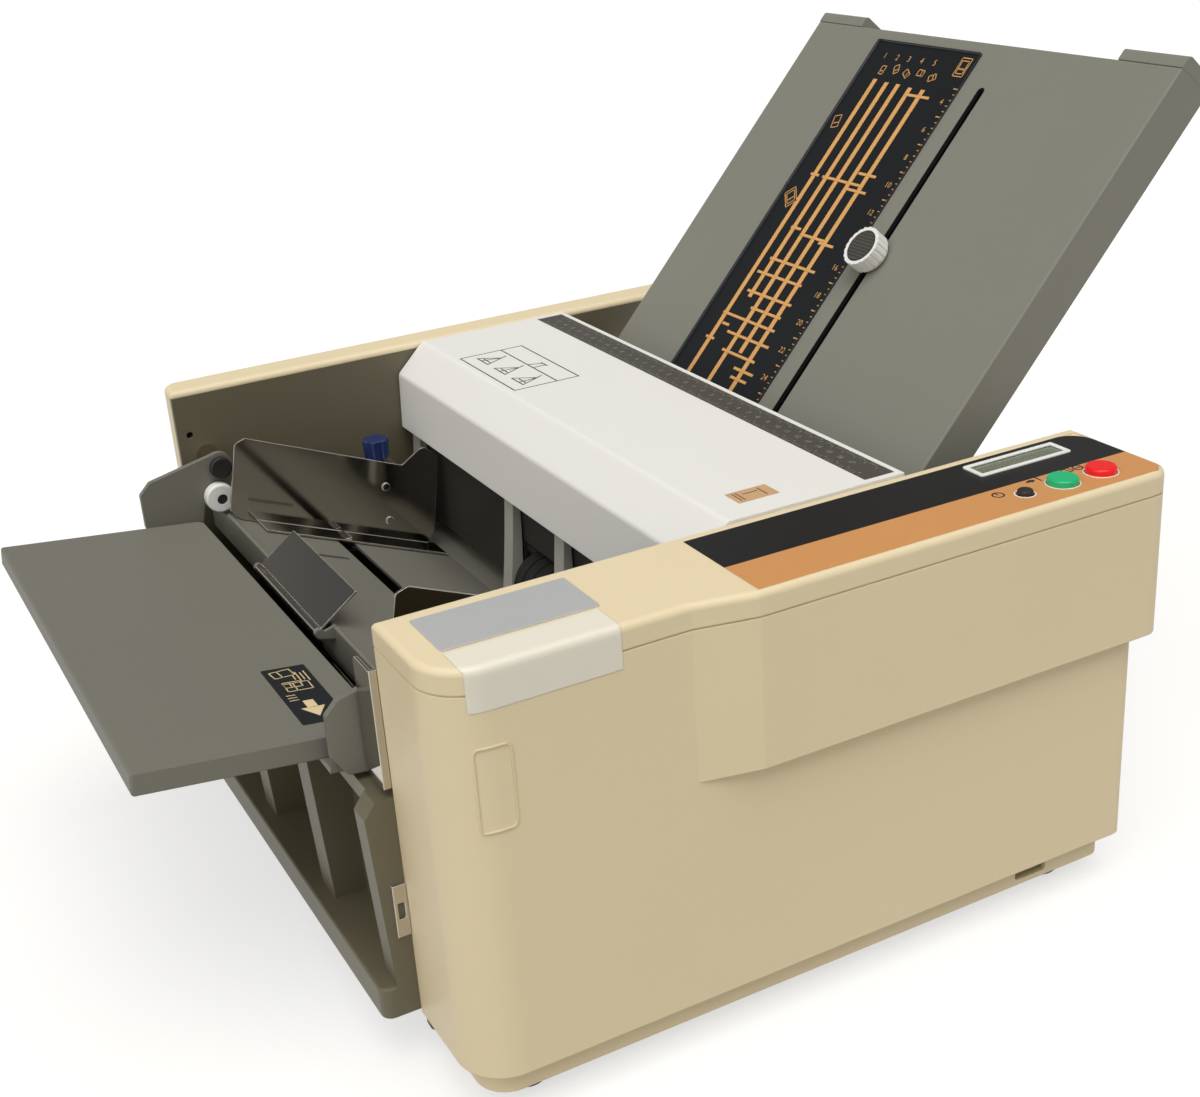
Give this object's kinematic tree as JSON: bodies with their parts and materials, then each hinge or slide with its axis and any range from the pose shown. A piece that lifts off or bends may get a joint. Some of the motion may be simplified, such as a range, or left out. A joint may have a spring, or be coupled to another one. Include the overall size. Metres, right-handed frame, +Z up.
{
  "type": "paper folding machine",
  "caption": "Desk-top paper folding machine with a feed tray, side guides, fold rollers, a sloping upper fold plate and a control housing.",
  "frame": {"origin": "on the desk, under the middle of the bounding box", "axes": "+X along the paper path from the feed tray to the exit, +Y across the machine from the control side to the rear, +Z up"},
  "size_m": [0.63, 0.49, 0.4211],
  "materials": {
    "cream_paint": "satin cream paint",
    "inner_paint": "satin olive-grey paint",
    "grey_paint": "fine textured warm grey paint",
    "white_plastic": "matt white",
    "arm_plastic": "matt light grey",
    "black_plastic": "matt black",
    "polished_steel": "bright stainless steel",
    "roller_steel": "ground steel",
    "black_rubber": "matt black rubber",
    "bronze": "sintered bronze",
    "gear_plastic": "natural nylon",
    "gear_steel": "zinc-plated steel",
    "panel_black": "dark printed panel film",
    "panel_orange": "tan-orange panel film",
    "display_green": "grey-green display window",
    "board_green": "circuit board",
    "supply_metal": "folded sheet steel",
    "start_green": "green",
    "stop_red": "red",
    "navy_plastic": "dark blue"
  },
  "bodies": {
    "machine_frame": {"base_plate": "inner_paint", "rubber_feet": "black_rubber", "front_side_plate": "inner_paint", "rear_side_plate": "inner_paint", "tie_bars": "polished_steel", "roller_bushes": "bronze", "front_cover": "cream_paint", "front_lid": "cream_paint", "rear_cover": "cream_paint", "display_panel": "panel_black", "key_panel": "panel_orange", "display_bezel": "white_plastic", "display_glass": "display_green", "control_board": "board_green", "motor": "gear_steel", "power_supply": "supply_metal", "power_inlet": "black_plastic", "feed_table": "grey_paint", "feed_shroud": "black_plastic", "pivot_pins": "polished_steel", "cam_wheels": "white_plastic", "front_frame": "inner_paint", "guard_plate": "polished_steel", "upper_fold_plate": "grey_paint", "fold_plate_liner": "polished_steel", "fold_plate_caps": "grey_paint", "lower_fold_plate": "inner_paint", "exit_guide": "inner_paint", "delivery_belt": "black_rubber"},
    "roller_1_group": {"fold_roller_1": "roller_steel", "fold_gear_1": "gear_plastic"},
    "roller_2_group": {"fold_roller_2": "roller_steel", "fold_gear_2": "gear_plastic"},
    "roller_3_group": {"fold_roller_3": "roller_steel", "fold_gear_3": "gear_plastic"},
    "roller_4_group": {"fold_roller_4": "roller_steel", "fold_gear_4": "gear_plastic"},
    "feed_group": {"feed_shaft": "polished_steel", "feed_tyre": "black_rubber", "feed_gear": "gear_plastic"},
    "idler_group": {"idler_gear": "gear_plastic"},
    "pinion_group": {"motor_pinion": "gear_steel"},
    "delivery_group": {"delivery_shaft": "polished_steel", "delivery_wheels": "black_rubber"},
    "start_key": {"start_button": "start_green"},
    "stop_key": {"stop_button": "stop_red"},
    "select_key": {"select_button": "black_plastic"},
    "rocker_group": {"power_rocker": "black_plastic"},
    "arm_group": {"hold_down_arms": "arm_plastic"},
    "rear_guide_group": {"side_guide_rear": "polished_steel"},
    "front_guide_group": {"side_guide_front": "polished_steel"},
    "rear_knob_group": {"guide_knob_rear": "navy_plastic"},
    "front_knob_group": {"guide_knob_front": "navy_plastic"},
    "flap_group": {"paper_flap": "polished_steel"},
    "tray_group": {"feed_tray": "grey_paint", "tray_brackets": "grey_paint"},
    "upper_stop_group": {"upper_stop": "polished_steel"},
    "stop_knob_group": {"stop_knob": "white_plastic"},
    "lower_stop_group": {"lower_stop": "black_plastic"},
    "cover_group": {"top_cover": "white_plastic"}
  },
  "joints": [
    {"name": "roller_2_spin", "type": "hinge", "parent": "machine_frame", "child": "roller_2_group", "pos_m": [0.034, 0.026, 0.1], "axis": [0, 1, 0], "continuous": true},
    {"name": "roller_1_spin", "type": "hinge", "parent": "machine_frame", "child": "roller_1_group", "pos_m": [0.01319, 0.026, 0.11874], "axis": [0, 1, 0], "continuous": true},
    {"name": "roller_3_spin", "type": "hinge", "parent": "machine_frame", "child": "roller_3_group", "pos_m": [0.03982, 0.026, 0.07261], "axis": [0, 1, 0], "continuous": true},
    {"name": "roller_4_spin", "type": "hinge", "parent": "machine_frame", "child": "roller_4_group", "pos_m": [0.01243, 0.026, 0.06679], "axis": [0, 1, 0], "continuous": true},
    {"name": "idler_spin", "type": "hinge", "parent": "machine_frame", "child": "idler_group", "pos_m": [0.00505, 0.026, 0.14184], "axis": [0, 1, 0], "continuous": true},
    {"name": "feed_spin", "type": "hinge", "parent": "machine_frame", "child": "feed_group", "pos_m": [-0.023, 0.026, 0.1303], "axis": [0, 1, 0], "continuous": true},
    {"name": "pinion_spin", "type": "hinge", "parent": "machine_frame", "child": "pinion_group", "pos_m": [-0.00676, 0.026, 0.05571], "axis": [0, 1, 0], "continuous": true},
    {"name": "delivery_spin", "type": "hinge", "parent": "machine_frame", "child": "delivery_group", "pos_m": [0.144, 0.026, 0.058], "axis": [0, 1, 0], "continuous": true},
    {"name": "start_press", "type": "slide", "parent": "machine_frame", "child": "start_key", "axis": [0, 0, -1], "range_m": [0, 0.0015], "stiffness_N_per_m": 300, "springref_m": -0.001},
    {"name": "stop_press", "type": "slide", "parent": "machine_frame", "child": "stop_key", "axis": [0, 0, -1], "range_m": [0, 0.0015], "stiffness_N_per_m": 300, "springref_m": -0.001},
    {"name": "select_press", "type": "slide", "parent": "machine_frame", "child": "select_key", "axis": [0, 0, -1], "range_m": [0, 0.0015], "stiffness_N_per_m": 300, "springref_m": -0.001},
    {"name": "rocker_tilt", "type": "hinge", "parent": "machine_frame", "child": "rocker_group", "pos_m": [0.183, -0.204, 0.082], "axis": [0, 1, 0], "range_deg": [0, 14]},
    {"name": "arm_swing", "type": "hinge", "parent": "machine_frame", "child": "arm_group", "pos_m": [-0.027, 0.026, 0.196], "axis": [0, 1, 0], "range_deg": [0, 7]},
    {"name": "rear_guide_slide", "type": "slide", "parent": "machine_frame", "child": "rear_guide_group", "axis": [0, 1, 0], "range_m": [-0.078, 0.004]},
    {"name": "front_guide_slide", "type": "slide", "parent": "machine_frame", "child": "front_guide_group", "axis": [0, 1, 0], "range_m": [-0.0355, 0.0465]},
    {"name": "rear_knob_turn", "type": "hinge", "parent": "rear_guide_group", "child": "rear_knob_group", "pos_m": [-0.072, 0.185, 0.18], "axis": [0, 0, 1], "range_deg": [-90, 90]},
    {"name": "front_knob_turn", "type": "hinge", "parent": "front_guide_group", "child": "front_knob_group", "pos_m": [-0.072, -0.1015, 0.18], "axis": [0, 0, 1], "range_deg": [-90, 90]},
    {"name": "flap_swing", "type": "hinge", "parent": "machine_frame", "child": "flap_group", "pos_m": [-0.185, 0.04, 0.1655], "axis": [0, 1, 0], "range_deg": [-60, 6]},
    {"name": "tray_fold", "type": "hinge", "parent": "machine_frame", "child": "tray_group", "pos_m": [-0.174, 0.026, 0.196], "axis": [0, 1, 0], "range_deg": [0, 85]},
    {"name": "upper_stop_slide", "type": "slide", "parent": "machine_frame", "child": "upper_stop_group", "axis": [-0.6691, 0, -0.7431], "range_m": [-0.112, 0.168]},
    {"name": "stop_knob_turn", "type": "hinge", "parent": "upper_stop_group", "child": "stop_knob_group", "pos_m": [0.18993, -0.004, 0.30473], "axis": [-0.7431, 0, 0.6691], "range_deg": [-90, 90]},
    {"name": "lower_stop_slide", "type": "slide", "parent": "machine_frame", "child": "lower_stop_group", "axis": [-0.9781, 0, -0.2079], "range_m": [-0.08, 0.045]},
    {"name": "cover_lift", "type": "hinge", "parent": "machine_frame", "child": "cover_group", "pos_m": [0.082, 0.026, 0.233], "axis": [0, 1, 0], "range_deg": [0, 75]}
  ],
  "couplings": [
    {"joint": "roller_1_spin", "follows": "roller_2_spin", "ratio": -1},
    {"joint": "roller_3_spin", "follows": "roller_2_spin", "ratio": -1},
    {"joint": "roller_4_spin", "follows": "roller_2_spin", "ratio": 1},
    {"joint": "idler_spin", "follows": "roller_2_spin", "ratio": 1.3333},
    {"joint": "feed_spin", "follows": "roller_2_spin", "ratio": -0.70588},
    {"joint": "pinion_spin", "follows": "roller_2_spin", "ratio": -1.7143},
    {"joint": "delivery_spin", "follows": "roller_2_spin", "ratio": -1}
  ]
}
